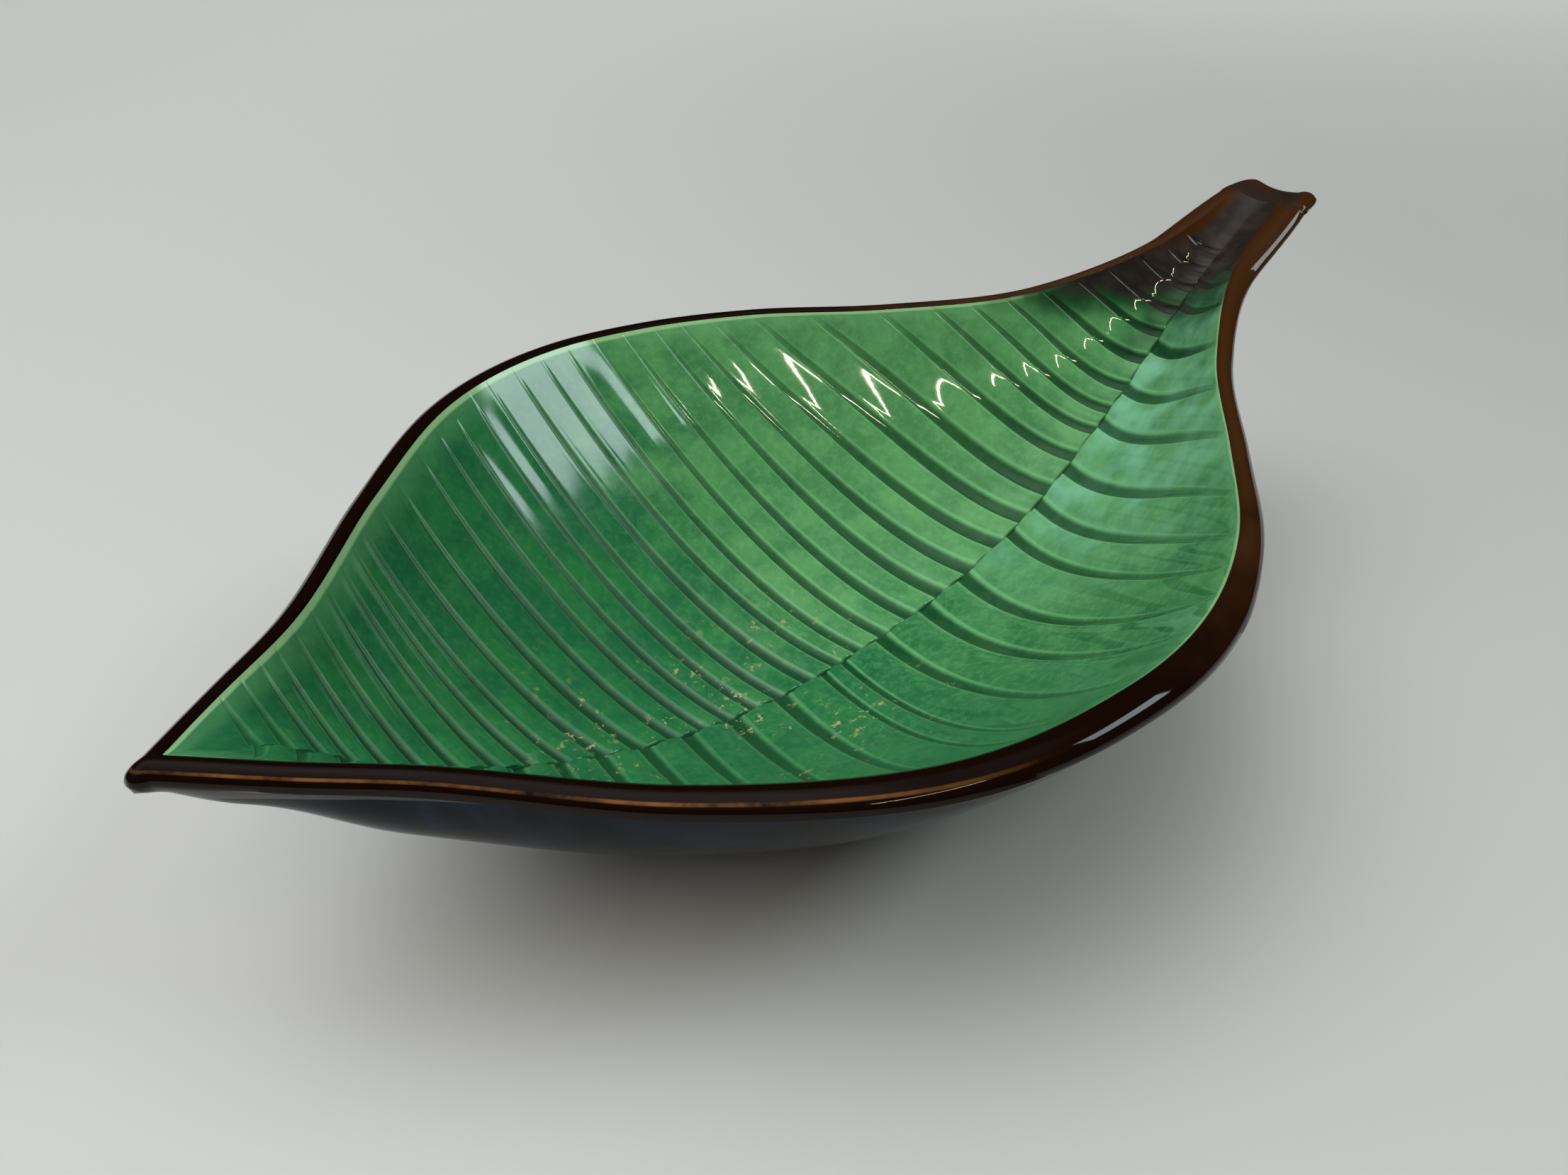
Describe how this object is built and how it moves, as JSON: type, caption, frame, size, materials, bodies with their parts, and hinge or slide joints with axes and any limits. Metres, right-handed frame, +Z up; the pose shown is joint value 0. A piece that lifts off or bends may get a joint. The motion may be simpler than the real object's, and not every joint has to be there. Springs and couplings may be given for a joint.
{
  "type": "leaf dish",
  "caption": "Deep stoneware serving dish in the shape of a long leaf, with grooved veins inside, a pointed tip, a raised trough-shaped stem and an oval foot ring.",
  "frame": {"origin": "on the table under the middle of the dish's overall length and width", "axes": "+X along the midrib towards the stem, +Z up, +Y towards the leaf's other side"},
  "size_m": [0.305, 0.1854, 0.0958],
  "materials": {
    "bare_clay": "unglazed fired stoneware, matt",
    "green_glaze": "glossy green glaze, mottled blue-green, darker where it pools in the grooves",
    "brown_glaze": "glossy dark brown glaze on the rim",
    "blue_black_glaze": "glossy blue-black glaze with soft runs",
    "well_glaze": "glossy blue-black glaze inside the foot ring"
  },
  "bodies": {
    "root": {"clay_body": "bare_clay", "leaf_glaze": "green_glaze", "rim_glaze": "brown_glaze", "outer_glaze": "blue_black_glaze", "well_glaze": "well_glaze"}
  },
  "joints": []
}
